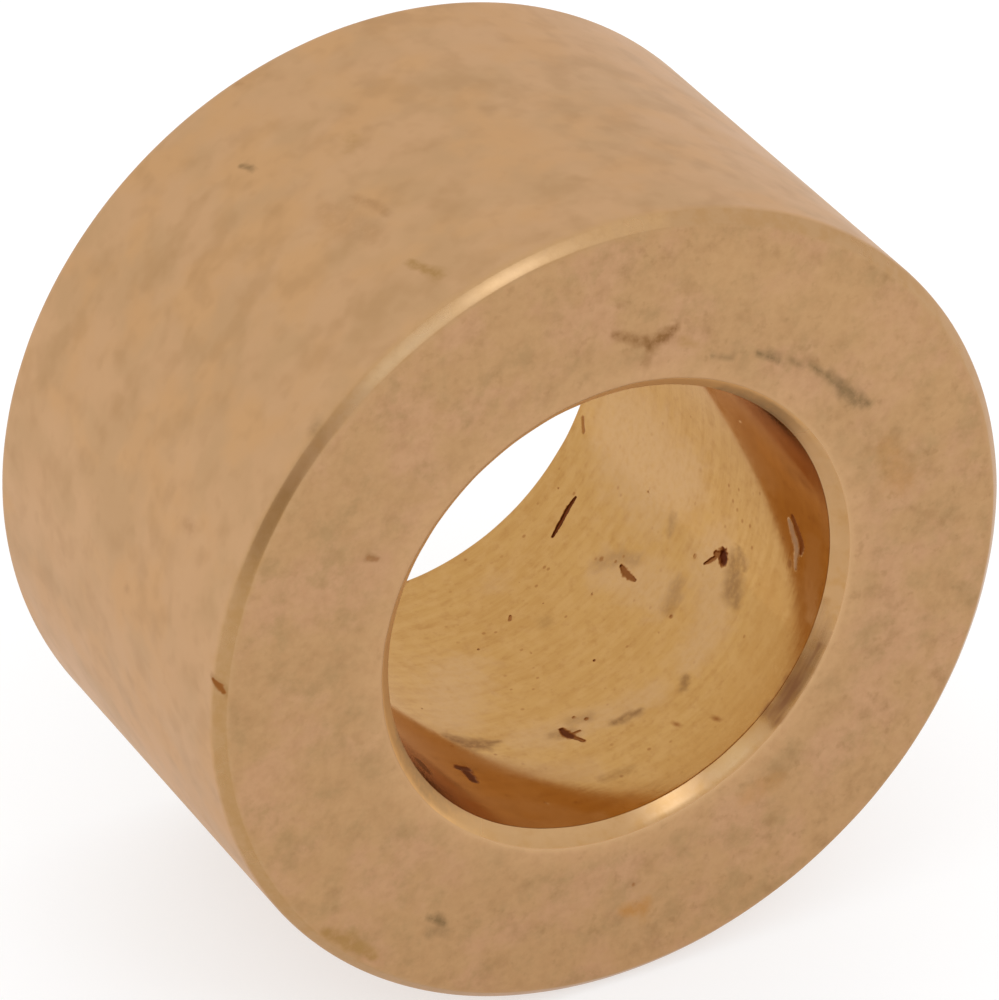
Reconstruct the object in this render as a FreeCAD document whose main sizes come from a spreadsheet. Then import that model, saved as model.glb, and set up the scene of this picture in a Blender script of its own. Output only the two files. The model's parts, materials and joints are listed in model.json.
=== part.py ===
"""Plain bronze sleeve bushing: a thick-walled plain bearing, turned and bored from one piece of bronze.
It is pressed into a housing and a shaft runs in its bore.

Frame: the bushing lies on its side, so its axis is along Y and Z is up. The origin is on the axis, at
half the length. The front face looks along -Y. The rear end, at +Y, enters the housing first and
carries the larger lead-in chamfer. All sizes are in millimetres.
"""
import FreeCAD, Part
import os
import Sketcher

PARTS_FOLDER = "parts"
SLEEVE_NODE = "bronze_sleeve"
EDGE_TOLERANCE = 1e-4

# Each driving dimension: its alias in the sheet, its value and what it measures.
DRIVING_DIMENSIONS = [
    ("outer_diameter", 25.4, "outside, a press fit in the housing (1 in)"),
    ("bore_diameter", 14.2875, "running bore (9/16 in)"),
    ("sleeve_length", 15.0, "over both end faces"),
    ("front_edge_break", 0.38, "45 degree chamfer, front outer edge"),
    ("lead_in_chamfer", 0.90, "45 degree chamfer, rear outer edge, eases the press-in"),
    ("bore_edge_break", 0.47, "45 degree chamfer, both mouths of the bore"),
]

# Sketcher's own numbers for a circle's centre and for the sketch's origin.
CIRCLE_CENTRE = 3
SKETCH_ORIGIN = (-1, 1)


def make_sheet(doc):
    """The spreadsheet that drives every feature, one row for each dimension."""
    sheet = doc.addObject("Spreadsheet::Sheet", "dimensions")
    for row, (alias, value, meaning) in enumerate(DRIVING_DIMENSIONS, start=1):
        sheet.set(f"A{row}", alias)
        sheet.set(f"B{row}", str(value))
        sheet.set(f"C{row}", meaning)
        sheet.setAlias(f"B{row}", alias)
    doc.recompute()
    return sheet


def origin_plane(body, role):
    """One of the body's own origin planes, such as XZ_Plane."""
    return next(plane for plane in body.Origin.OriginFeatures if plane.Role == role)


def axial_circle(body, sheet, name, alias):
    """A sketched circle about the bushing's axis, its diameter bound to one cell of the sheet."""
    sketch = body.newObject("Sketcher::SketchObject", name)
    sketch.AttachmentSupport = [(origin_plane(body, "XZ_Plane"), "")]
    sketch.MapMode = "FlatFace"
    diameter = getattr(sheet, alias)
    centre, normal = FreeCAD.Vector(0, 0, 0), FreeCAD.Vector(0, 0, 1)
    circle = sketch.addGeometry(Part.Circle(centre, normal, diameter / 2), False)
    sketch.addConstraint(Sketcher.Constraint("Coincident", circle, CIRCLE_CENTRE, *SKETCH_ORIGIN))
    diameter_constraint = sketch.addConstraint(Sketcher.Constraint("Diameter", circle, diameter))
    sketch.renameConstraint(diameter_constraint, "across")
    sketch.setExpression("Constraints.across", f"{sheet.Name}.{alias}")
    return sketch


def turned_blank(body, sheet):
    """The solid bar, turned to the outside diameter and cut to length, centred on the origin."""
    blank = body.newObject("PartDesign::Pad", "turned_blank")
    blank.Profile = axial_circle(body, sheet, "outside_circle", "outer_diameter")
    blank.Midplane = True
    blank.setExpression("Length", f"{sheet.Name}.sleeve_length")
    return blank


def running_bore(body, sheet):
    """The bore, cut right through the blank."""
    bore = body.newObject("PartDesign::Pocket", "running_bore")
    bore.Profile = axial_circle(body, sheet, "bore_circle", "bore_diameter")
    bore.Midplane = True
    bore.setExpression("Length", f"2 * {sheet.Name}.sleeve_length")
    return bore


def ring_edges(shape, radius, y_places):
    """The names of the circular edges with this radius that lie at one of these places along Y."""
    names = []
    for number, edge in enumerate(shape.Edges, start=1):
        curve = edge.Curve
        if not isinstance(curve, Part.Circle) or abs(curve.Radius - radius) > EDGE_TOLERANCE:
            continue
        if any(abs(curve.Center.y - y) < EDGE_TOLERANCE for y in y_places):
            names.append(f"Edge{number}")
    return names


def ring_chamfer(body, base, name, size_expression, radius, y_places):
    """A 45 degree chamfer on the base's ring edges of this radius, one edge at each place along Y."""
    edges = ring_edges(base.Shape, radius, y_places)
    if len(edges) != len(y_places):
        raise RuntimeError(f"{name}: found {len(edges)} ring edges, but needs {len(y_places)}")
    chamfer = body.newObject("PartDesign::Chamfer", name)
    chamfer.Base = (base, edges)
    chamfer.setExpression("Size", size_expression)
    body.Document.recompute()
    return chamfer


def make_sleeve(doc, sheet):
    """The bushing itself: the turned blank, its bore, and the broken edges."""
    body = doc.addObject("PartDesign::Body", SLEEVE_NODE)
    body.Label = SLEEVE_NODE
    body.Placement = FreeCAD.Placement(FreeCAD.Vector(0, 0, 0), FreeCAD.Rotation())
    turned_blank(body, sheet)
    bored = running_bore(body, sheet)
    doc.recompute()

    outer_radius, bore_radius = sheet.outer_diameter / 2, sheet.bore_diameter / 2
    front, rear = -sheet.sleeve_length / 2, sheet.sleeve_length / 2
    broken = ring_chamfer(
        body, bored, "front_outer_edge", f"{sheet.Name}.front_edge_break", outer_radius, [front])
    led_in = ring_chamfer(
        body, broken, "rear_lead_in", f"{sheet.Name}.lead_in_chamfer", outer_radius, [rear])
    ring_chamfer(
        body, led_in, "bore_mouths", f"{sheet.Name}.bore_edge_break", bore_radius, [front, rear])
    return body


def check_document(doc):
    """Stops the build if any object of the document has failed."""
    for item in doc.Objects:
        if "Invalid" in item.State or "Error" in item.State:
            raise RuntimeError(f"{item.Label} failed: {item.State}")


def export_part(body):
    """Writes one sub-part to its STEP file, once its shape is known to be one sound solid."""
    shape = body.Shape
    if shape.isNull() or not shape.isValid() or len(shape.Solids) != 1:
        raise RuntimeError(f"{body.Label} is not one valid solid")
    shape.exportStep(os.path.join(PARTS_FOLDER, body.Label + ".step"))
    box = shape.BoundBox
    sizes = f"{box.XLength:.3f} x {box.YLength:.3f} x {box.ZLength:.3f} mm"
    print(f"{body.Label}: {sizes}, {shape.Volume:.1f} mm3")


def main():
    os.makedirs(PARTS_FOLDER, exist_ok=True)
    doc = FreeCAD.newDocument("sleeve_bushing")
    sheet = make_sheet(doc)
    sleeve = make_sleeve(doc, sheet)
    doc.recompute()
    check_document(doc)
    export_part(sleeve)


main()
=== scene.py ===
"""Looks of the bronze sleeve bushing: a turned and bored ring of cast bearing bronze on a pale table.

The sleeve is one closed mesh, its wall section turned about the Y axis, with the casting pits, pores,
chips and nicks cut into it. Lengths are in metres, except where a name or a comment says millimetres.
"""
import json
import math

import bmesh
import bpy
import numpy as np
from mathutils import Euler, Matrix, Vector, noise


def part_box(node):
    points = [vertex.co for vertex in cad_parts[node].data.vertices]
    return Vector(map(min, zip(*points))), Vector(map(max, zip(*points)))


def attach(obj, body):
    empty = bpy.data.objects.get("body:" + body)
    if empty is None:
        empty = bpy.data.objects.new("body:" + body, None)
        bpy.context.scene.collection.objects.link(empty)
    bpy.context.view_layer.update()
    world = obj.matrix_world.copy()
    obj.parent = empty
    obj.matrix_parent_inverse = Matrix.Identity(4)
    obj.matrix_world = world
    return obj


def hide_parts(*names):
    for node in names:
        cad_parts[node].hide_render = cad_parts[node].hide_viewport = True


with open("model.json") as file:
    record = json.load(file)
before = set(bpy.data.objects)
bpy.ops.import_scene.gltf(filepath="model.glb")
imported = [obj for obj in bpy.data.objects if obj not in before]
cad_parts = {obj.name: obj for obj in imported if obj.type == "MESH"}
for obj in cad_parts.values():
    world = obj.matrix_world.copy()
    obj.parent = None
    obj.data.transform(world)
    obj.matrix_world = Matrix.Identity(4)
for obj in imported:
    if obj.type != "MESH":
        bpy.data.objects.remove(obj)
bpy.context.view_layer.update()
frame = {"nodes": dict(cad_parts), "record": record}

MM = 0.001
WALL_TOLERANCE = 0.002 * MM
SLEEVE_NODE = "bronze_sleeve"

# ---------------------------------------------------------------- sizes, from the frame
_, high_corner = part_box(SLEEVE_NODE)
OUTER_RADIUS, HALF_LENGTH = high_corner.x, high_corner.y
bore_mount = next(m for m in frame["record"]["mounts"] if m["name"] == "bore")
BORE_RADIUS = bore_mount["dims"]["r_mm"] * MM
MOUTH_CHAMFER = HALF_LENGTH - bore_mount["dims"]["length_mm"] * MM / 2
wall_y = [v.co.y for v in frame["nodes"][SLEEVE_NODE].data.vertices
          if math.hypot(v.co.x, v.co.z) > OUTER_RADIUS - WALL_TOLERANCE]
FRONT_CHAMFER = min(wall_y) + HALF_LENGTH
REAR_CHAMFER = HALF_LENGTH - max(wall_y)

# ---------------------------------------------------------------- zones of the surface
# They follow the wall's section: out along the front face, back along the outside, in along the rear
# face and forwards through the bore. Each has its number of mesh rows. The corner where it ends is
# rounded off from so many millimetres before the corner to so many after it.
FRONT_FACE, FRONT_EDGE, OUTSIDE, REAR_EDGE, REAR_FACE, REAR_MOUTH, BORE, FRONT_MOUTH = range(8)
EDGE_ZONES = (FRONT_EDGE, REAR_EDGE, REAR_MOUTH, FRONT_MOUTH)
ZONE_ROWS = {FRONT_FACE: 12, FRONT_EDGE: 2, OUTSIDE: 28, REAR_EDGE: 4, REAR_FACE: 12, REAR_MOUTH: 2,
             BORE: 44, FRONT_MOUTH: 3}
ROUNDING = {FRONT_FACE: (0.26, 0.09), FRONT_EDGE: (0.08, 0.17), OUTSIDE: (0.15, 0.12),
            REAR_EDGE: (0.12, 0.20), REAR_FACE: (0.25, 0.12), REAR_MOUTH: (0.05, 0.05),
            BORE: (0.015, 0.015), FRONT_MOUTH: (0.08, 0.34)}
ZONE_COUNT = len(ZONE_ROWS)
COLUMNS = 288
ROWS_IN_ROUNDING = 5
# A face or a wall has one more row this close to each of its ends, so that it stays flat between them.
SUPPORT_ROW = 0.05 * MM
# The broken edges' sizes waver by up to this much, in slow and quick waves round the ring.
EDGE_WOBBLE = 0.035 * MM
SLOW_WAVES, QUICK_WAVES = 2.5, 9
SLOW_SHARE, QUICK_SHARE = 0.7, 0.3
# Points closer together than this are one point.
SAME_PLACE = 0.0002 * MM

# Stretches of surface that unroll without a break.
INSIDE = (REAR_MOUTH, BORE, FRONT_MOUTH)
OUTER = (FRONT_EDGE, OUTSIDE, REAR_EDGE)
FRONT = (FRONT_FACE,)

# ---------------------------------------------------------------- marks, in degrees and millimetres
# A mark is a stroke: points of (angle, place, half width). Angles are counted about the axis from +X
# towards +Z. The place is Y inside and outside, and the radius on an end face.
# Pits: where they are, how deep they sink, how dark their dirt is from 0 to 1, and the stroke. One of them
# is the chip's painted shadow.
PITS = [
    (INSIDE, 0.04, 0.90, [(309.9, 4.90, 0.06), (313.0, 5.03, 0.10), (317.5, 5.18, 0.10),
                          (320.5, 5.19, 0.06)]),
    (INSIDE, 0.02, 0.45, [(334.2, 6.38, 0.08), (336.8, 6.68, 0.08)]),
    (INSIDE, 0.03, 0.65, [(316.3, 1.68, 0.08), (315.8, 1.36, 0.13), (315.9, 1.12, 0.11),
                          (316.2, 0.82, 0.06)]),
    (INSIDE, 0.01, 0.35, [(314.3, 2.58, 0.10)]),
    (INSIDE, 0.01, 0.35, [(316.2, 2.00, 0.06)]),
    (INSIDE, 0.01, 0.30, [(318.4, 1.86, 0.06)]),
    (INSIDE, 0.04, 1.00, [(335.9, -1.99, 0.22), (335.1, -2.12, 0.20)]),
    (INSIDE, 0.02, 0.60, [(335.0, -1.66, 0.11), (335.5, -1.86, 0.13)]),
    (INSIDE, 0.02, 0.60, [(334.2, -1.72, 0.09), (332.2, -1.52, 0.07), (331.0, -1.39, 0.04)]),
    (INSIDE, 0.02, 0.85, [(277.6, -2.40, 0.10), (277.6, -2.66, 0.15), (278.2, -2.86, 0.12)]),
    (INSIDE, 0.02, 0.60, [(278.2, -2.86, 0.10), (278.9, -3.06, 0.08), (279.7, -3.28, 0.06)]),
    (INSIDE, 0.01, 0.45, [(278.5, -2.77, 0.08), (280.8, -2.78, 0.05)]),
    (INSIDE, 0.01, 0.45, [(284.1, -2.43, 0.08)]),
    (INSIDE, 0.01, 0.30, [(282.1, -2.12, 0.07)]),
    (INSIDE, 0.01, 0.90, [(244.0, -3.62, 0.17), (246.3, -3.64, 0.19)]),
    (INSIDE, 0.01, 0.95, [(245.3, -3.86, 0.18), (245.4, -4.06, 0.20), (245.0, -4.34, 0.15)]),
    (INSIDE, 0.0, 0.80, [(229.2, -4.10, 0.18), (228.4, -4.50, 0.26), (228.1, -4.80, 0.18)]),
    (INSIDE, 0.02, 0.50, [(288.0, 3.20, 0.07), (288.8, 3.34, 0.05)]),
    (INSIDE, 0.02, 0.40, [(295.7, -0.44, 0.06)]),
    (INSIDE, 0.02, 0.35, [(276.7, 2.61, 0.05)]),
    (INSIDE, 0.01, 0.40, [(316.0, -1.41, 0.08)]),
    (INSIDE, 0.01, 0.30, [(330.7, -0.87, 0.10)]),
    # Not a pit: the chip's painted shadow beside it, a shallow dent darkened like the pits' dirt.
    (INSIDE, 0.01, 0.62, [(358.5, -4.91, 0.11), (356.6, -5.16, 0.14), (355.0, -5.40, 0.14),
                          (353.5, -5.56, 0.14), (351.7, -5.56, 0.10)]),
    (INSIDE, 0.0, 0.35, [(347.1, -5.12, 0.13)]),
    (OUTER, 0.02, 0.55, [(173.0, -7.10, 0.06), (173.6, -7.26, 0.09), (174.4, -7.36, 0.06)]),
    (OUTER, 0.01, 0.0, [(119.5, 2.95, 0.06), (120.3, 3.30, 0.05)]),
    (FRONT, 0.01, 0.22, [(151.3, 8.80, 0.08), (151.4, 9.05, 0.10)]),
    (FRONT, 0.01, 0.28, [(273.3, 9.37, 0.07)]),
]
# Chips stand proud: where they are, how high, and the stroke.
CHIP_STROKE = [(356.9, -4.73, 0.10), (354.7, -4.97, 0.14), (353.1, -5.22, 0.15), (351.8, -5.33, 0.17),
               (349.5, -5.36, 0.12), (347.5, -5.45, 0.09)]
CHIPS = [(INSIDE, 0.010, CHIP_STROKE)]
# Stains and painted light lie on the surface: the kind, where they are, how strong they are, and the
# stroke.
STAINS = [
    # In the bore
    # A painted reflection: deeper orange where the bore's walls reflect each other near the front mouth.
    ("amber_reflection", INSIDE, 0.60, [(338.0, -4.60, 0.6), (330.0, -5.20, 0.8), (312.0, -5.90, 0.8),
                             (292.0, -6.30, 0.6)]),
    ("amber_reflection", INSIDE, 1.00, [(335.0, -6.30, 0.5), (325.0, -6.60, 0.6), (312.0, -6.80, 0.6),
                             (300.0, -6.90, 0.4)]),
    ("amber_reflection", INSIDE, 0.30, [(264.0, -5.90, 0.4), (280.0, -6.20, 0.5)]),
    # The haze is partly a dull, rougher film and partly painted sheen: a paler colour where the bore
    # reflects the bright room.
    ("haze_and_sheen", INSIDE, 1.00, [(344.0, 0.80, 1.0), (340.0, 2.40, 1.7), (342.0, 4.80, 1.5)]),
    ("haze_and_sheen", INSIDE, 0.85, [(256.0, -0.60, 0.8), (261.0, 0.60, 1.0), (268.0, 1.80, 0.9)]),
    ("haze_and_sheen", INSIDE, 0.85, [(312.0, -3.20, 0.6), (322.0, -3.00, 0.8), (334.0, -1.60, 1.0)]),
    ("haze_and_sheen", INSIDE, 0.85, [(312.5, 2.20, 0.6), (316.0, 1.20, 0.65), (319.0, -0.40, 0.8)]),
    ("haze_and_sheen", INSIDE, 0.50, [(291.3, 5.00, 0.5)]),
    ("haze_and_sheen", INSIDE, 0.60, [(238.0, -2.40, 0.6), (255.0, -3.40, 0.6), (275.0, -4.60, 0.5)]),
    ("haze_and_sheen", INSIDE, 1.00, [(2.0, -6.90, 0.3), (20.0, -6.90, 0.5), (48.0, -6.90, 0.5),
                            (62.0, -6.90, 0.3)]),
    ("haze_and_sheen", INSIDE, 1.00, [(196.0, -6.90, 0.3), (212.0, -6.90, 0.5), (245.0, -6.90, 0.5),
                            (268.0, -6.90, 0.3)]),
    ("haze_and_sheen", INSIDE, 0.70, [(16.0, -1.20, 0.5), (9.0, -2.40, 0.6), (3.5, -3.60, 0.5)]),
    ("haze_and_sheen", INSIDE, 1.00, [(356.0, -6.20, 0.5), (348.0, -6.40, 0.5), (341.0, -6.80, 0.3)]),
    ("haze_and_sheen", INSIDE, 0.80, [(234.0, -5.60, 0.4), (250.0, -5.60, 0.5), (262.0, -6.30, 0.4)]),
    # A painted highlight: the paler film brightens the highlight on the mouth chamfer.
    ("haze_and_sheen", INSIDE, 0.60, [(297.0, -7.27, 0.2), (312.0, -7.27, 0.2)]),
    ("haze_and_sheen", INSIDE, 0.75, [(270.0, -2.30, 0.7), (284.0, -2.60, 0.6), (300.0, -3.20, 0.5)]),
    ("smudge", INSIDE, 0.82, [(336.6, -2.60, 0.34), (332.2, -3.01, 0.46), (329.2, -3.51, 0.22)]),
    ("smudge", INSIDE, 0.70, [(340.6, -2.48, 0.08), (339.4, -2.84, 0.10), (337.0, -3.18, 0.09)]),
    ("smudge", INSIDE, 0.55, [(334.0, 0.84, 0.18), (330.9, 0.67, 0.17)]),
    ("smudge", INSIDE, 0.55, [(322.5, -0.80, 0.28), (317.6, -1.12, 0.26)]),
    ("smudge", INSIDE, 0.48, [(313.4, 2.50, 0.28), (318.0, 1.90, 0.28), (320.0, 1.30, 0.22)]),
    ("smudge", INSIDE, 1.00, [(308.0, -3.64, 0.17), (305.9, -3.86, 0.16)]),
    ("smudge", INSIDE, 1.00, [(288.4, -3.21, 0.14), (291.8, -3.28, 0.19), (295.1, -3.41, 0.12)]),
    ("smudge", INSIDE, 0.40, [(276.4, -5.26, 0.18), (283.1, -5.28, 0.18)]),
    ("smudge", INSIDE, 0.35, [(293.8, 2.21, 0.28)]),
    ("smudge", INSIDE, 0.60, [(275.0, -2.48, 0.26), (278.0, -2.70, 0.24)]),
    ("smudge", INSIDE, 0.45, [(280.5, -2.20, 0.20), (285.0, -2.40, 0.22)]),
    ("smudge", INSIDE, 0.35, [(238.0, -5.20, 0.20), (232.0, -3.60, 0.26), (226.0, -3.20, 0.20)]),
    # A painted highlight: the chip's pale, glinting sliver, laid on as a film over its stroke.
    ("chip_highlight", INSIDE, 1.00, CHIP_STROKE),
    # A painted dark reflection on the lower right of the mouth chamfer, starting sharply.
    ("mouth_dark_reflection", INSIDE, 1.00, [(316.2, -7.28, 0.28), (326.0, -7.27, 0.26), (335.0, -7.28, 0.16)]),
    ("mouth_dark_reflection", INSIDE, 0.40, [(335.0, -7.22, 0.18), (346.0, -7.12, 0.10)]),
    ("rust", INSIDE, 1.00, [(250.4, -1.62, 0.18), (253.6, -2.05, 0.36), (257.6, -2.10, 0.30),
                            (261.8, -2.10, 0.10)]),
    # On the outside and its chamfers
    # A painted highlight: the paler film brightens the key light's reflection on the outer chamfer.
    ("haze_and_sheen", OUTER, 1.00, [(84.0, -7.30, 0.2), (96.0, -7.30, 0.3), (116.0, -7.30, 0.3),
                           (128.0, -7.30, 0.2)]),
    ("rust", OUTER, 0.30, [(113.3, -0.88, 0.12), (112.5, -1.30, 0.14), (111.7, -1.83, 0.15),
                           (111.7, -2.42, 0.12)]),
    ("rust", OUTER, 0.18, [(116.5, -0.90, 0.50), (115.9, -1.90, 0.60), (114.6, -2.73, 0.40)]),
    ("rust", OUTER, 0.30, [(158.5, -3.96, 0.20), (158.3, -4.36, 0.20)]),
    ("rust", OUTER, 0.45, [(112.7, 6.46, 0.12)]),
    ("rust", OUTER, 0.30, [(173.3, -1.78, 0.14)]),
    ("rust", OUTER, 0.45, [(172.8, -7.05, 0.10), (173.6, -7.28, 0.14), (174.6, -7.44, 0.10)]),
    # Partly an ochre stain and partly painted shade: it darkens the outer chamfer's lower left, where it
    # reflects the shadowed table.
    ("ochre", OUTER, 0.40, [(146.0, -7.40, 0.20), (180.0, -7.40, 0.26), (215.0, -7.40, 0.26),
                            (250.0, -7.40, 0.20)]),
    ("ochre", OUTER, 0.90, [(114.0, -4.81, 0.12), (113.6, -5.18, 0.11), (112.8, -5.88, 0.20)]),
    ("ochre", OUTER, 0.40, [(108.8, 0.94, 0.20), (107.1, 1.50, 0.16)]),
    ("patina", OUTER, 0.35, [(137.1, -7.00, 0.22)]),
    ("patina", OUTER, 0.70, [(119.5, 2.93, 0.11), (120.2, 3.29, 0.10)]),
    # On the front face
    ("haze_and_sheen", FRONT, 0.45, [(20.0, 10.90, 0.9), (38.0, 10.90, 1.0), (56.0, 10.90, 1.0),
                           (74.0, 10.90, 0.8)]),
    # A painted dark reflection on the face's side of the mouth, beside the one in the bore.
    ("mouth_dark_reflection", FRONT, 0.80, [(315.8, 7.52, 0.07), (325.0, 7.53, 0.07), (333.0, 7.53, 0.07),
                              (339.0, 7.52, 0.05)]),
    ("rust", FRONT, 0.75, [(91.8, 9.39, 0.11), (87.4, 8.97, 0.16), (85.3, 8.92, 0.14)]),
    ("rust", FRONT, 1.00, [(84.4, 8.75, 0.16), (83.0, 8.85, 0.22), (81.3, 8.95, 0.20),
                           (79.5, 9.16, 0.13)]),
    ("rust", FRONT, 0.40, [(84.0, 8.50, 0.20), (84.5, 8.15, 0.16)]),
    ("rust", FRONT, 0.45, [(151.3, 8.78, 0.12), (151.4, 9.08, 0.15)]),
    ("orange", FRONT, 0.90, [(271.2, 10.18, 0.16), (274.6, 10.31, 0.30)]),
    ("orange", FRONT, 0.35, [(300.0, 8.60, 0.30), (306.0, 8.90, 0.30)]),
    ("orange", FRONT, 0.35, [(12.0, 9.40, 0.50), (20.0, 9.20, 0.40)]),
    ("ochre", FRONT, 0.90, [(219.7, 12.20, 0.18), (224.0, 12.03, 0.28), (228.6, 12.04, 0.18)]),
    ("ochre", FRONT, 0.60, [(77.5, 8.75, 0.14), (74.5, 8.60, 0.12)]),
    ("patina", FRONT, 0.55, [(69.8, 8.31, 0.09), (64.9, 8.37, 0.09)]),
    ("patina", FRONT, 0.90, [(60.0, 8.60, 0.09), (57.3, 8.67, 0.14), (54.3, 8.69, 0.10)]),
    ("patina", FRONT, 0.55, [(54.3, 8.68, 0.08), (47.6, 8.94, 0.08)]),
    ("patina", FRONT, 0.85, [(46.5, 8.95, 0.09), (43.0, 8.98, 0.15), (37.4, 9.03, 0.20),
                             (33.3, 9.15, 0.23), (30.8, 9.29, 0.14)]),
    ("patina", FRONT, 0.90, [(233.7, 10.33, 0.11), (235.5, 10.30, 0.15), (237.1, 10.31, 0.11)]),
    ("patina", FRONT, 0.45, [(235.4, 10.75, 0.20), (237.7, 10.57, 0.20)]),
]

# Small pores, scattered at random through the bore.
PORE_COUNT = 70
PORE_HALF_WIDTH = (0.022, 0.042)
PORE_DEPTH = 0.02
PORE_DIRT = (0.25, 0.60)
PORE_ANGLES = (2, 358)
REARMOST_PORE, PORE_SPREAD, PORE_CROWDING = 6.7, 12.5, 1.5
SEED = 22

# A mark's uneven outline: how long its waves are in millimetres, and how strong.
PIT_OUTLINE, FILM_OUTLINE = (0.10, 0.3), (0.30, 0.5)
# Where a pit or a chip, its dirt (and the chip's painted shadow) and a film start and end to fade: 0 is the
# stroke's line and 1 its rim.
CUT_FADE, DIRT_AND_SHADOW_FADE, FILM_FADE = (0.3, 1.1), (0.45, 1.45), (0.3, 1.6)

# How many times the mesh is halved at the marks, and how far from a mark the first halving reaches, in
# millimetres. Each further halving reaches less far. Only the fine films need it, not the wide soft ones.
MARK_LEVELS = {INSIDE: 4, OUTER: 3, FRONT: 3}
PORE_LEVELS = 3
FILM_REACH, CUT_REACH, PORE_REACH = 0.25, 0.12, 0.10
REACH_SHRINKS_TO = 0.55
# Divides in place of the square of a run's length where a stroke is a single point.
NO_LENGTH = 1e-12
FINE_FILMS = {"smudge", "chip_highlight", "mouth_dark_reflection", "rust", "orange", "ochre", "patina"}


def wavering(angle, which):
    """A slow random number from -1 to 1 that closes on itself round the ring."""
    here, apart = Vector((math.cos(angle), math.sin(angle), 0)), Vector((0, 0, 10 * which))
    slow = noise.noise(here * SLOW_WAVES + apart)
    quick = noise.noise(here * QUICK_WAVES + apart + Vector((0, 0, 5)))
    return SLOW_SHARE * slow + QUICK_SHARE * quick


def section(angle):
    """The wall's section at this angle, a closed loop of points.

    Each point is its radius, its y, the zone that it starts, and how much it belongs to a broken edge.
    """
    bore, outer, half = BORE_RADIUS, OUTER_RADIUS, HALF_LENGTH
    front, rear, mouth, rear_mouth = (
        size + EDGE_WOBBLE * wavering(angle, which)
        for which, size in enumerate((FRONT_CHAMFER, REAR_CHAMFER, MOUTH_CHAMFER, MOUTH_CHAMFER)))
    corners = [Vector(corner) for corner in (
        (bore + mouth, -half), (outer - front, -half), (outer, -half + front), (outer, half - rear),
        (outer - rear, half), (bore + rear_mouth, half), (bore, half - rear_mouth), (bore, -half + mouth))]
    points = []
    for zone in range(ZONE_COUNT):
        first, corner, following = (corners[(zone + k) % ZONE_COUNT] for k in range(3))
        along, onwards = (corner - first).normalized(), (following - corner).normalized()
        start = first + along * ROUNDING[(zone - 1) % ZONE_COUNT][1] * MM
        end = corner - along * ROUNDING[zone][0] * MM
        far = corner + onwards * ROUNDING[zone][1] * MM
        steps = [row / ZONE_ROWS[zone] for row in range(ZONE_ROWS[zone])]
        on_edge = float(zone in EDGE_ZONES)
        if not on_edge:
            support = SUPPORT_ROW / (end - start).length
            steps = [0, support, *steps[1:], 1 - support]
        points += [(*start.lerp(end, t), zone, on_edge) for t in steps]
        arc_zone = (zone + 1) % ZONE_COUNT if on_edge else zone
        for row in range(ROWS_IN_ROUNDING):
            t = row / ROWS_IN_ROUNDING
            share = 1 - t if on_edge else t
            points.append((*end.lerp(corner, t).lerp(corner.lerp(far, t), t), arc_zone, share))
    return points


def turned_ring():
    """The closed ring of quads that the section makes when it turns about the axis."""
    bm = bmesh.new()
    ring_radius = bm.verts.layers.float.new("ring_radius")
    broken_edge = bm.verts.layers.float.new("broken_edge")
    columns, zones = [], []
    for column in range(COLUMNS):
        angle = 2 * math.pi * column / COLUMNS
        verts = []
        for radius, y, zone, share in section(angle):
            vert = bm.verts.new((radius * math.cos(angle), y, radius * math.sin(angle)))
            vert[ring_radius], vert[broken_edge] = radius, share
            verts.append(vert)
            zones.append(zone)
        columns.append(verts)
    rows = len(columns[0])
    for column, here in enumerate(columns):
        beside = columns[(column + 1) % COLUMNS]
        for j in range(rows):
            k = (j + 1) % rows
            face = bm.faces.new((here[j], here[k], beside[k], beside[j]))
            face.material_index = zones[j]
            face.smooth = True
    return bm


def unrolled(points, group):
    """Surface coordinates in millimetres: arc length and y, or x and z on an end face."""
    x, y, z = (points[:, k] / MM for k in range(3))
    if group == FRONT:
        return np.stack([x, z], 1)
    radius = (BORE_RADIUS if group == INSIDE else OUTER_RADIUS) / MM
    return np.stack([np.arctan2(z, x) % (2 * math.pi) * radius, y], 1)


def spot(angle, place, group):
    """The surface coordinates of a place that is given by its angle and its Y or radius."""
    turn = math.radians(angle)
    if group == FRONT:
        return np.array([place * math.cos(turn), place * math.sin(turn)])
    radius = (BORE_RADIUS if group == INSIDE else OUTER_RADIUS) / MM
    return np.array([turn % (2 * math.pi) * radius, place])


def stroke_reach(flat, stroke, group, margin=0.0):
    """Each point's distance to a stroke over the half width there: 0 on its line and 1 at its rim."""
    best = np.full(len(flat), np.inf)
    for (a0, p0, w0), (a1, p1, w1) in zip(stroke, stroke[1:] or stroke):
        start, end = spot(a0, p0, group), spot(a1, p1, group)
        run = end - start
        t = np.clip((flat - start) @ run / max(run @ run, NO_LENGTH), 0, 1)
        gap = np.linalg.norm(flat - start - t[:, None] * run, axis=1)
        best = np.minimum(best, gap / (w0 + (w1 - w0) * t + margin))
    return best


def pores():
    """Small pores scattered through the bore, thicker towards the rear."""
    rng = np.random.default_rng(SEED)
    found = []
    for _ in range(PORE_COUNT):
        angle = rng.uniform(*PORE_ANGLES)
        place = REARMOST_PORE - PORE_SPREAD * rng.random() ** PORE_CROWDING
        stroke = [(angle, place, rng.uniform(*PORE_HALF_WIDTH))]
        found.append((INSIDE, PORE_DEPTH, rng.uniform(*PORE_DIRT), stroke))
    return found


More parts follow.
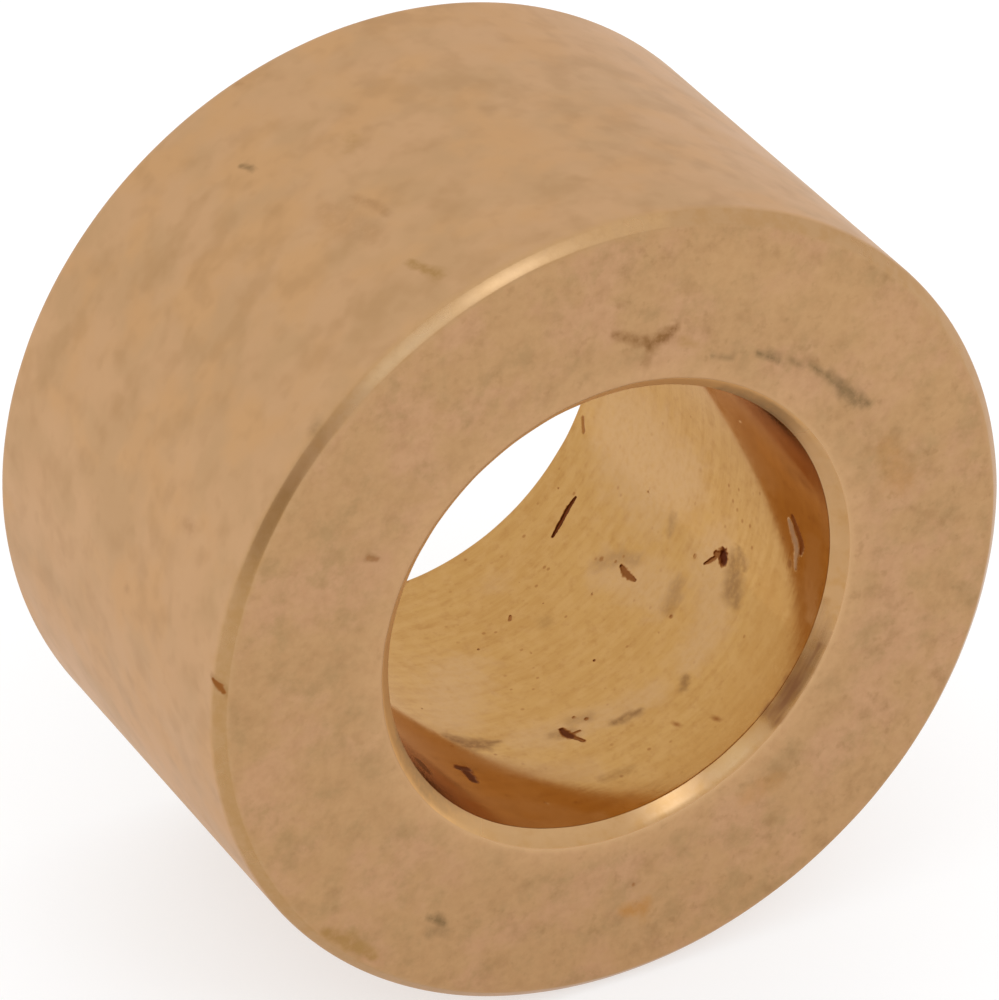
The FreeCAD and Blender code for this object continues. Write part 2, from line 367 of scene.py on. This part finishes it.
def refine(bm, strokes, group, reach_mm, levels):
    """Halves the quads near the strokes, level by level, and puts new points back on their ring."""
    ring_radius = bm.verts.layers.float["ring_radius"]
    for level in range(levels):
        faces = [f for f in bm.faces if f.material_index in group]
        centres = unrolled(np.array([f.calc_center_median() for f in faces]), group)
        margin = reach_mm * REACH_SHRINKS_TO ** level
        near = np.zeros(len(faces), bool)
        for stroke in strokes:
            near |= stroke_reach(centres, stroke, group, margin) < 1
        edges = {e for f, chosen in zip(faces, near) if chosen for e in f.edges}
        done = bmesh.ops.subdivide_edges(bm, edges=list(edges), cuts=1, use_grid_fill=True)
        for vert in (g for g in done["geom_inner"] if isinstance(g, bmesh.types.BMVert)):
            scale = vert[ring_radius] / math.hypot(vert.co.x, vert.co.z)
            vert.co.x *= scale
            vert.co.z *= scale


def clean_up(bm):
    """Joins points that coincide, cuts many-sided faces into triangles, and drops edges of no length."""
    bmesh.ops.remove_doubles(bm, verts=bm.verts, dist=SAME_PLACE)
    many_sided = [face for face in bm.faces if len(face.verts) > 4]
    bmesh.ops.triangulate(bm, faces=many_sided, ngon_method="BEAUTY")
    bmesh.ops.dissolve_degenerate(bm, edges=bm.edges, dist=SAME_PLACE)


def falloff(reach, inner, outer):
    """1 where reach is below inner, easing to 0 where it meets outer."""
    t = np.clip((outer - reach) / (outer - inner), 0, 1)
    return t * t * (3 - 2 * t)


def ragged(points, size_mm, amount):
    """A factor about 1 that makes the outline of a mark uneven."""
    return 1 + amount * np.array([noise.noise(Vector(p) / (size_mm * MM)) for p in points])


def mark_surface(mesh, pits):
    """Cuts the pits into the mesh, raises the chips, and stores each film as a point attribute."""
    count = len(mesh.vertices)
    points, normals = np.zeros(count * 3), np.zeros(count * 3)
    mesh.vertices.foreach_get("co", points)
    mesh.vertex_normals.foreach_get("vector", normals)
    points, normals = points.reshape(-1, 3), normals.reshape(-1, 3)
    depth = np.zeros(count)
    layers = {name: np.zeros(count) for name in ("dirt_and_shadow", *FILMS)}
    for group in (INSIDE, OUTER, FRONT):
        chosen = sorted({v for p in mesh.polygons if p.material_index in group for v in p.vertices})
        flat = unrolled(points[chosen], group)
        film_outline = ragged(points[chosen], *FILM_OUTLINE)
        pit_outline = ragged(points[chosen], *PIT_OUTLINE)
        sunk, dirt_and_shadow = np.zeros(len(chosen)), np.zeros(len(chosen))
        for where, deep, dark, stroke in pits:
            if where == group:
                reach = stroke_reach(flat, stroke, group) * pit_outline
                sunk = np.maximum(sunk, deep * falloff(reach, *CUT_FADE))
                dirt_and_shadow = np.maximum(dirt_and_shadow, dark * falloff(reach, *DIRT_AND_SHADOW_FADE))
        for where, high, stroke in CHIPS:
            if where == group:
                lift = falloff(stroke_reach(flat, stroke, group) * pit_outline, *CUT_FADE)
                sunk, dirt_and_shadow = sunk * (1 - lift) - high * lift, dirt_and_shadow * (1 - lift)
        depth[chosen] = sunk
        layers["dirt_and_shadow"][chosen] = dirt_and_shadow
        for kind, where, strength, stroke in STAINS:
            if where == group:
                reach = stroke_reach(flat, stroke, group) * film_outline
                film = strength * falloff(reach, *FILM_FADE)
                layers[kind][chosen] = np.maximum(layers[kind][chosen], film)
    points -= normals * depth[:, None] * MM
    mesh.vertices.foreach_set("co", points.ravel())
    for name, values in layers.items():
        mesh.attributes.new(name, "FLOAT", "POINT").data.foreach_set("value", values.astype(np.float32))


def make_sleeve():
    """The bushing, one closed mesh with all its marks."""
    small_pores = pores()
    bm = turned_ring()
    for group, levels in MARK_LEVELS.items():
        cut = [mark[-1] for mark in PITS + CHIPS if mark[0] == group]
        films = [stroke for kind, where, _, stroke in STAINS if where == group and kind in FINE_FILMS]
        refine(bm, cut + films, group, FILM_REACH, 1)
        refine(bm, cut, group, CUT_REACH, levels - 1)
    refine(bm, [mark[-1] for mark in small_pores], INSIDE, PORE_REACH, PORE_LEVELS)
    clean_up(bm)
    mesh = bpy.data.meshes.new("turned_sleeve")
    bm.to_mesh(mesh)
    bm.free()
    mark_surface(mesh, PITS + small_pores)
    for material in zone_materials():
        mesh.materials.append(material)
    sleeve = bpy.data.objects.new("turned_sleeve", mesh)
    bpy.context.scene.collection.objects.link(sleeve)
    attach(sleeve, "root")
    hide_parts(SLEEVE_NODE)
    triangles = sum(len(face.vertices) - 2 for face in mesh.polygons)
    print("sleeve:", len(mesh.vertices), "points,", triangles, "triangles")


# ---------------------------------------------------------------- materials
# A Mix node's sockets for the factor, a and b, and for its result, when it mixes colours and numbers.
COLOUR_MIX, MIXED_COLOUR = (0, 6, 7), 2
NUMBER_MIX, MIXED_NUMBER = (0, 2, 3), 0


class Nodes:
    """Short calls that add nodes to one material's tree."""

    def __init__(self, tree):
        self.tree = tree
        position = self.add("ShaderNodeTexCoord").outputs["Object"]
        self.place = self.vector("SCALE", position, scale=1 / MM)
        x, self.y, z = self.split(self.place)
        squares = [self.math("MULTIPLY", side, side) for side in (x, z)]
        self.radius = self.math("SQRT", self.math("ADD", *squares))
        self.turn_x = self.math("DIVIDE", x, self.radius)
        self.turn_z = self.math("DIVIDE", z, self.radius)

    def add(self, kind, **settings):
        node = self.tree.nodes.new(kind)
        for name, value in settings.items():
            setattr(node, name, value)
        return node

    def feed(self, socket, value):
        if isinstance(value, bpy.types.NodeSocket):
            self.tree.links.new(value, socket)
        else:
            socket.default_value = value

    def split(self, vector):
        node = self.add("ShaderNodeSeparateXYZ")
        self.feed(node.inputs[0], vector)
        return node.outputs

    def math(self, operation, *values):
        node = self.add("ShaderNodeMath", operation=operation)
        for socket, value in zip(node.inputs, values):
            self.feed(socket, value)
        return node.outputs[0]

    def vector(self, operation, *values, scale=None):
        node = self.add("ShaderNodeVectorMath", operation=operation)
        for socket, value in zip(node.inputs, values):
            self.feed(socket, value)
        if scale is not None:
            node.inputs["Scale"].default_value = scale
        return node.outputs[0]

    def noise(self, per_mm, detail=2.0, roughness=0.5, at=None):
        """Cloudy noise from 0 to 1, with so many blobs to the millimetre."""
        node = self.add("ShaderNodeTexNoise")
        self.feed(node.inputs["Vector"], at or self.place)
        node.inputs["Scale"].default_value = per_mm
        node.inputs["Detail"].default_value = detail
        node.inputs["Roughness"].default_value = roughness
        return node.outputs["Fac"]

    def tool_marks(self, around, across, detail=2.0):
        """Noise drawn out along the cut: slow round the axis and quick along the tool's feed.

        The tool feeds along Y in the bore, and along the radius on the faces and chamfers too.
        """
        feed = self.math("MULTIPLY_ADD", self.radius, 0.6, self.y)
        at = self.add("ShaderNodeCombineXYZ")
        self.feed(at.inputs["X"], self.math("MULTIPLY", self.turn_x, around))
        self.feed(at.inputs["Y"], self.math("MULTIPLY", feed, across))
        self.feed(at.inputs["Z"], self.math("MULTIPLY", self.turn_z, around))
        return self.noise(per_mm=1.0, detail=detail, roughness=0.6, at=at.outputs[0])

    def ease(self, value, low, high, to_low=0.0, to_high=1.0):
        """Eases from to_low to to_high while value goes from low to high."""
        node = self.add("ShaderNodeMapRange", interpolation_type="SMOOTHSTEP")
        for name, number in (("Value", value), ("From Min", low), ("From Max", high),
                             ("To Min", to_low), ("To Max", to_high)):
            self.feed(node.inputs[name], number)
        return node.outputs["Result"]

    def blend(self, factor, a, b):
        """Colour a where the factor is 0 and colour b where it is 1."""
        node = self.add("ShaderNodeMix", data_type="RGBA")
        for number, value in zip(COLOUR_MIX, (factor, a, b)):
            self.feed(node.inputs[number], (*value, 1) if isinstance(value, tuple) else value)
        return node.outputs[MIXED_COLOUR]

    def mix(self, factor, a, b):
        """Number a where the factor is 0 and number b where it is 1."""
        node = self.add("ShaderNodeMix")
        for number, value in zip(NUMBER_MIX, (factor, a, b)):
            self.feed(node.inputs[number], value)
        return node.outputs[MIXED_NUMBER]

    def layered(self, colour, *layers):
        """The colour under layers of others, each given as how much of it shows and its colour."""
        for share, over in layers:
            colour = self.blend(share, colour, over)
        return colour

    def film(self, name):
        return self.add("ShaderNodeAttribute", attribute_name=name).outputs["Fac"]

    def clouds(self, per_mm, detail, low, high, least=0.0, most=1.0, roughness=0.5, shift=None):
        """Noise eased from least, where it is under low, to most, where it is over high.

        A shift moves the noise by so many millimetres, so that it is unlike the others.
        """
        at = self.vector("ADD", self.place, shift) if shift else None
        return self.ease(self.noise(per_mm, detail, roughness, at), low, high, least, most)

    def relief(self, per_mm, height_mm, detail=2.0, roughness=0.5):
        """Cloudy noise as a bump height in millimetres."""
        return self.math("MULTIPLY", self.noise(per_mm, detail, roughness), height_mm)

    def specks(self, per_mm, radius_mm):
        """1 inside small round specks that lie scattered over the surface."""
        node = self.add("ShaderNodeTexVoronoi")
        self.feed(node.inputs["Vector"], self.place)
        node.inputs["Scale"].default_value = per_mm
        edge = radius_mm * per_mm
        return self.ease(node.outputs["Distance"], edge * 0.5, edge, 1.0, 0.0)


TAN, ORANGE_TAN, OLIVE_TAN = (0.549, 0.330, 0.169), (0.552, 0.322, 0.151), (0.508, 0.308, 0.153)
BROWN_TAN = (0.410, 0.232, 0.100)
FACE_TAN, FACE_ROSE, FACE_OLIVE = (0.496, 0.293, 0.139), (0.520, 0.300, 0.157), (0.410, 0.250, 0.115)
FACE_PALE = (0.560, 0.334, 0.164)
FACE_BROWN = (0.300, 0.162, 0.066)
GOLD, DEEP_GOLD = (0.516, 0.288, 0.094), (0.462, 0.242, 0.073)
PALE_GOLD, HAZE_AND_SHEEN = (0.546, 0.313, 0.114), (0.545, 0.328, 0.154)
EDGE, EDGE_GOLD = (0.476, 0.284, 0.138), (0.456, 0.262, 0.116)
# The mouth's pale colour is painted light for the shaded upper left of the chamfer.
MOUTH, MOUTH_GOLD, MOUTH_PAINTED_LIGHT = (0.500, 0.292, 0.132), (0.480, 0.266, 0.104), (0.790, 0.455, 0.180)
BROWN, DARK = (0.300, 0.112, 0.026), (0.120, 0.024, 0.006)
GRAZING_TINT, BORE_GRAZING_TINT = (0.96, 0.89, 0.84), (0.93, 0.83, 0.74)
DIRT_AND_SHADOW_ROUGHER = 0.3
# Each kind of film's colour, how much of it shows where it is thickest, and how much rougher it makes
# the metal. Some are painted light: the bore's deeper orange reflection, the chip's highlight, the mouth's
# dark reflection, and the haze in part. A later one covers an earlier one.
FILMS = {"amber_reflection": ((0.450, 0.225, 0.062), 0.80, 0.0), "haze_and_sheen": (HAZE_AND_SHEEN, 0.80, 0.0),
         "smudge": ((0.262, 0.128, 0.045), 0.90, 0.1), "chip_highlight": ((0.640, 0.440, 0.280), 0.90, 0.45),
         "mouth_dark_reflection": ((0.250, 0.112, 0.048), 0.95, 0.1), "rust": ((0.240, 0.108, 0.032), 0.85, 0.1),
         "orange": ((0.470, 0.225, 0.060), 0.85, 0.0), "ochre": ((0.360, 0.200, 0.060), 0.85, 0.0),
         "patina": ((0.200, 0.128, 0.056), 0.85, 0.1)}


def bronze(name, colour_of, roughness_of, bump_of, edge_colour_of, edge_roughness_of, grazing_tint):
    """A bronze material that wears to the broken edges' metal where the mesh's edge attribute says so.

    The functions take the Nodes and give the socket for a colour, a roughness or a bump height.
    """
    material = bpy.data.materials.new(name)
    material.use_nodes = True
    n = Nodes(material.node_tree)
    shader = material.node_tree.nodes["Principled BSDF"]
    shader.inputs["Metallic"].default_value = 1.0
    shader.inputs["Specular Tint"].default_value = (*grazing_tint, 1)
    wear = n.math("SUBTRACT", n.noise(per_mm=1.5), 0.5)
    edge = n.ease(n.math("MULTIPLY_ADD", wear, 0.4, n.film("broken_edge")), 0.30, 1.00)
    colour = n.blend(edge, colour_of(n), edge_colour_of(n))
    dirt_and_shadow = n.film("dirt_and_shadow")
    roughness = n.mix(edge, roughness_of(n), edge_roughness_of(n))
    roughness = n.math("MULTIPLY_ADD", dirt_and_shadow, DIRT_AND_SHADOW_ROUGHER, roughness)
    torn = n.clouds(per_mm=5.0, detail=4.0, roughness=0.65, low=0.30, high=0.60, least=0.55)
    scratched = n.ease(n.tool_marks(around=3.0, across=9.0), 0.35, 0.60, 0.15, 1.0)
    for kind, (film_colour, most, rougher) in FILMS.items():
        mask = n.math("MULTIPLY", n.film(kind), scratched if kind == "mouth_dark_reflection" else torn)
        colour = n.blend(n.math("MULTIPLY", mask, most), colour, film_colour)
        if rougher:
            roughness = n.math("MULTIPLY_ADD", mask, rougher, roughness)
    # Dirt in the pits, and the chip's painted shadow, turn the colour brown and dark.
    colour = n.layered(colour, (n.ease(dirt_and_shadow, 0.0, 0.55), BROWN), (n.ease(dirt_and_shadow, 0.45, 1.0), DARK))
    n.feed(shader.inputs["Base Color"], colour)
    n.feed(shader.inputs["Roughness"], roughness)
    bump = n.add("ShaderNodeBump")
    bump.inputs["Strength"].default_value = 1.0
    bump.inputs["Distance"].default_value = MM
    n.feed(bump.inputs["Height"], n.mix(edge, bump_of(n), edge_bump(n)))
    n.feed(shader.inputs["Normal"], bump.outputs["Normal"])
    return material


def outside_colour(n):
    """Tan bronze with wide, faint olive, orange and brown clouds and small brown spots."""
    olive = n.clouds(per_mm=0.45, detail=3.5, low=0.40, high=0.64)
    orange = n.clouds(per_mm=0.45, detail=3.5, low=0.45, high=0.66, shift=(31, 7, 13))
    brown = n.clouds(per_mm=0.8, detail=2.5, low=0.46, high=0.72, most=0.40, shift=(5, 17, 3))
    spots = n.clouds(per_mm=1.5, detail=1.5, low=0.55, high=0.75, most=0.20, shift=(9, 1, 23))
    return n.layered(TAN, (olive, OLIVE_TAN), (orange, ORANGE_TAN), (brown, BROWN_TAN), (spots, BROWN_TAN))


def outside_roughness(n):
    return n.clouds(per_mm=0.5, detail=3.0, low=0.3, high=0.7, least=0.41, most=0.46)


def outside_bump(n):
    return n.relief(per_mm=3.0, height_mm=0.0006)


def face_colour(n):
    """Darker tan than the outside, and more mottled: rose and olive clouds, brown blotches and specks."""
    rose = n.clouds(per_mm=0.40, detail=5.0, roughness=0.6, low=0.44, high=0.62)
    olive = n.clouds(
        per_mm=0.70, detail=5.0, roughness=0.65, low=0.48, high=0.70, most=0.85, shift=(11, 3, 29))
    blotches = n.clouds(
        per_mm=1.3, detail=4.0, roughness=0.6, low=0.50, high=0.75, most=0.36, shift=(7, 21, 5))
    grain = n.clouds(
        per_mm=4.0, detail=3.0, roughness=0.55, low=0.35, high=0.75, most=0.14, shift=(3, 9, 1))
    specks = n.clouds(
        per_mm=2.6, detail=3.0, roughness=0.55, low=0.58, high=0.74, most=0.30, shift=(13, 2, 8))
    pale_rim = n.ease(n.radius, 7.7, 8.6, 0.6, 0.0)
    more_at_right = n.ease(n.turn_x, -0.9, 0.2, 0.5, 1.0)
    return n.layered(
        FACE_TAN, (rose, FACE_ROSE), (olive, FACE_OLIVE),
        (n.math("MULTIPLY", more_at_right, blotches), FACE_BROWN), (pale_rim, FACE_PALE),
        (grain, FACE_BROWN), (n.math("MULTIPLY", more_at_right, specks), FACE_BROWN))


def face_roughness(n):
    return n.clouds(per_mm=2.0, detail=3.0, low=0.3, high=0.7, least=0.40, most=0.54)


def face_bump(n):
    return n.relief(per_mm=4.0, height_mm=0.0017, detail=3.0, roughness=0.55)


def bore_colour(n):
    """Golden bored metal, streaked along the cut, mottled and sprinkled with fine pores."""
    streaks = n.ease(n.tool_marks(around=2.5, across=3.5, detail=3.0), 0.30, 0.76)
    mottle = n.clouds(
        per_mm=2.0, detail=4.0, roughness=0.6, low=0.42, high=0.66, most=0.50, shift=(19, 4, 11))
    grain = n.clouds(
        per_mm=3.2, detail=3.0, roughness=0.6, low=0.48, high=0.72, most=0.20, shift=(2, 27, 6))
    crowded = n.clouds(per_mm=0.7, detail=2.0, low=0.42, high=0.60, least=0.1, most=0.6)
    dots = n.math("MULTIPLY", n.specks(per_mm=2.2, radius_mm=0.08), crowded)
    return n.layered(GOLD, (streaks, DEEP_GOLD), (mottle, PALE_GOLD), (grain, BROWN), (dots, BROWN))


def bore_roughness(n):
    return n.ease(n.film("haze_and_sheen"), 0.0, 1.0, 0.11, 0.19)


def bore_bump(n):
    """Fine marks of the boring tool, and a faint unevenness under them."""
    tool_marks = n.math("MULTIPLY", n.tool_marks(around=3.0, across=10.0), 0.0003)
    return n.math("ADD", tool_marks, n.relief(per_mm=4.0, height_mm=0.0005))


def gilding(n):
    """Where the broken edges are more golden."""
    return n.clouds(per_mm=2.0, detail=3.0, roughness=0.6, low=0.38, high=0.66)


def edge_colour(n):
    return n.blend(gilding(n), EDGE, EDGE_GOLD)


def edge_roughness(n):
    return n.clouds(per_mm=0.8, detail=2.0, low=0.3, high=0.7, least=0.27, most=0.30)


def edge_bump(n):
    return n.relief(per_mm=1.0, height_mm=0.0020)


def lower_right(n):
    """From -1.4 at the upper left of the ring to 1.4 at its lower right."""
    return n.math("SUBTRACT", n.turn_x, n.turn_z)


def mouth_colour(n):
    """Golden at the lower right, and at the upper left a pale colour: painted light that lifts the
    chamfer's shaded side.
    """
    mouth_metal = n.blend(gilding(n), MOUTH, MOUTH_GOLD)
    return n.blend(n.ease(lower_right(n), -0.3, 0.5), MOUTH_PAINTED_LIGHT, mouth_metal)


def mouth_roughness(n):
    return n.ease(lower_right(n), -0.5, 0.4, 0.50, 0.25)


def outer_rim(n):
    """0 on the end face's inner rim and 1 on its outer rim."""
    return n.ease(n.radius, 9.5, 10.5)


def face_edge_colour(n):
    """Pale on the inner rim, and like the outer chamfer on the outer rim."""
    return n.blend(outer_rim(n), FACE_PALE, edge_colour(n))


def face_edge_roughness(n):
    return n.mix(outer_rim(n), mouth_roughness(n), edge_roughness(n))


def zone_materials():
    """One material for each zone, in the order of the zone numbers."""
    face = bronze("bronze_end_face", face_colour, face_roughness, face_bump,
                  face_edge_colour, face_edge_roughness, GRAZING_TINT)
    outside = bronze("bronze_outside", outside_colour, outside_roughness, outside_bump,
                     edge_colour, edge_roughness, GRAZING_TINT)
    bore = bronze("bronze_bore", bore_colour, bore_roughness, bore_bump,
                  mouth_colour, mouth_roughness, BORE_GRAZING_TINT)
    return [face, outside, outside, outside, face, bore, bore, bore]


# ---------------------------------------------------------------- camera and studio
CAMERA_AZIMUTH = -28.12
CAMERA_ELEVATION = 31.72
CAMERA_DISTANCE = 215.69 * MM
CAMERA_AIM_RIGHT = 0.13 * MM
CAMERA_AIM_DOWN = 0.16 * MM
CAMERA_CLIPS = (0.01, 20)
LENS, SENSOR = 267.4, 36.0


def make_camera():
    data = bpy.data.cameras.new("camera")
    data.lens, data.sensor_width = LENS, SENSOR
    data.clip_start, data.clip_end = CAMERA_CLIPS
    camera = bpy.data.objects.new("camera", data)
    camera.rotation_euler = Euler((math.radians(90 - CAMERA_ELEVATION), 0, math.radians(CAMERA_AZIMUTH)))
    turn = camera.rotation_euler.to_matrix()
    aim = turn @ Vector((CAMERA_AIM_RIGHT, -CAMERA_AIM_DOWN, 0))
    camera.location = aim + turn @ Vector((0, 0, CAMERA_DISTANCE))
    bpy.context.scene.collection.objects.link(camera)
    bpy.context.scene.camera = camera


def direction(azimuth_from_camera, elevation):
    """A unit vector towards a part of the studio, its azimuth counted rightwards from the camera."""
    azimuth = math.radians(CAMERA_AZIMUTH + azimuth_from_camera)
    rise = math.radians(elevation)
    return Vector((math.sin(azimuth) * math.cos(rise), -math.cos(azimuth) * math.cos(rise), math.sin(rise)))


# Soft patches in an even white room: azimuth from the camera, elevation, the inner and outer angle of
# the soft rim, and the light's colour. The second is the key light and the last two are the room's dark.
STUDIO_WHITE = (1.03, 1.03, 1.03)
STUDIO_PATCHES = [
    (0, 40, 2, 10, (1.38, 1.70, 2.20)),
    (31, 51, 2, 10, (3.10, 3.60, 4.40)),
    (-20, 20, 6, 14, (0.54, 0.45, 0.36)),
    (-25, 7, 8, 15, (0.44, 0.35, 0.24)),
]


def soft_patch(tree, towards, light, azimuth, elevation, inner, outer, colour):
    """Lays one soft round patch of colour over the light that the room gives so far."""
    facing = tree.nodes.new("ShaderNodeVectorMath")
    facing.operation = "DOT_PRODUCT"
    tree.links.new(towards, facing.inputs[0])
    facing.inputs[1].default_value = direction(azimuth, elevation)
    rim = tree.nodes.new("ShaderNodeMapRange")
    rim.interpolation_type = "SMOOTHSTEP"
    rim.inputs["From Min"].default_value = math.cos(math.radians(outer))
    rim.inputs["From Max"].default_value = math.cos(math.radians(inner))
    tree.links.new(facing.outputs["Value"], rim.inputs["Value"])
    mix = tree.nodes.new("ShaderNodeMix")
    mix.data_type = "RGBA"
    factor, under, over = (mix.inputs[number] for number in COLOUR_MIX)
    tree.links.new(rim.outputs["Result"], factor)
    under.default_value = (*STUDIO_WHITE, 1)
    over.default_value = (*colour, 1)
    if light is not None:
        tree.links.new(light, under)
    return mix.outputs[MIXED_COLOUR]


def make_studio():
    world = bpy.data.worlds.new("studio")
    bpy.context.scene.world = world
    world.use_nodes = True
    tree = world.node_tree
    towards = tree.nodes.new("ShaderNodeTexCoord").outputs["Generated"]
    light = None
    for patch in STUDIO_PATCHES:
        light = soft_patch(tree, towards, light, *patch)
    tree.links.new(light, tree.nodes["Background"].inputs["Color"])


TABLE_SIZE = 6
TABLE_GREY, TABLE_ROUGHNESS, TABLE_GLOW = 0.45, 0.9, 0.59


def make_table():
    """A pale table that glows a little, like the lit tables that small parts are photographed on."""
    bpy.ops.mesh.primitive_plane_add(size=TABLE_SIZE, location=(0, 0, -OUTER_RADIUS))
    table = bpy.context.object
    table.name = "table"
    paper = bpy.data.materials.new("white_table")
    paper.use_nodes = True
    shader = paper.node_tree.nodes["Principled BSDF"]
    shader.inputs["Base Color"].default_value = (TABLE_GREY, TABLE_GREY, TABLE_GREY, 1)
    shader.inputs["Roughness"].default_value = TABLE_ROUGHNESS
    shader.inputs["Emission Color"].default_value = (1, 1, 1, 1)
    shader.inputs["Emission Strength"].default_value = TABLE_GLOW
    table.data.materials.append(paper)


bpy.context.scene.view_settings.view_transform = "Standard"
bpy.context.scene.view_settings.look = "None"
make_table()
make_sleeve()
make_camera()
make_studio()
